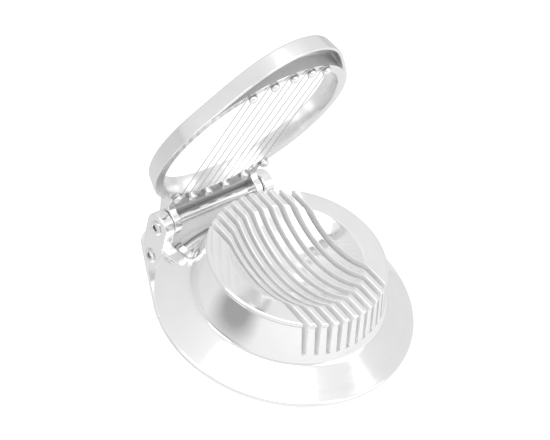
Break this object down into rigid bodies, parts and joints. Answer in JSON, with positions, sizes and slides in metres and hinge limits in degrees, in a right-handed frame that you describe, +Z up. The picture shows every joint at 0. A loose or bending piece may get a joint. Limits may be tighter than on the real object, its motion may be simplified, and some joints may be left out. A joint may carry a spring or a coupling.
{
  "type": "round egg slicer",
  "caption": "Round metal egg slicer: a slotted dome with an egg hollow, and a hinged nosed frame that pulls parallel wires down through the slots to slice a boiled egg.",
  "frame": {"origin": "on the table, in the middle of the flat ring that the brim rests on, under the axis of the round dome", "axes": "+Z up, +X along the hinge pin towards the right ear, +Y to the back where the hinge is, -Y to the front where the nose comes down"},
  "size_m": [0.12, 0.1264, 0.1315],
  "materials": {
    "polished_casting": "polished casting",
    "frame_casting": "polished casting",
    "tube_metal": "drawn tube",
    "stud_metal": "turned and tumbled",
    "steel_wire": "drawn wire"
  },
  "bodies": {
    "base_body": {"base": "polished_casting", "hinge_pin": "tube_metal"},
    "frame_body": {"cutting_frame": "frame_casting", "cutting_wire": "steel_wire", "rear_stud_1": "stud_metal", "rear_stud_2": "stud_metal", "rear_stud_3": "stud_metal", "rear_stud_4": "stud_metal", "rear_stud_5": "stud_metal", "rear_stud_6": "stud_metal", "front_stud_1": "stud_metal", "front_stud_2": "stud_metal", "front_stud_3": "stud_metal", "front_stud_4": "stud_metal", "front_stud_5": "stud_metal"}
  },
  "joints": [
    {"name": "frame_hinge", "type": "hinge", "parent": "base_body", "child": "frame_body", "pos_m": [0, 0.057, 0.0114], "axis": [1, 0, 0], "range_deg": [0, 72.5]}
  ]
}
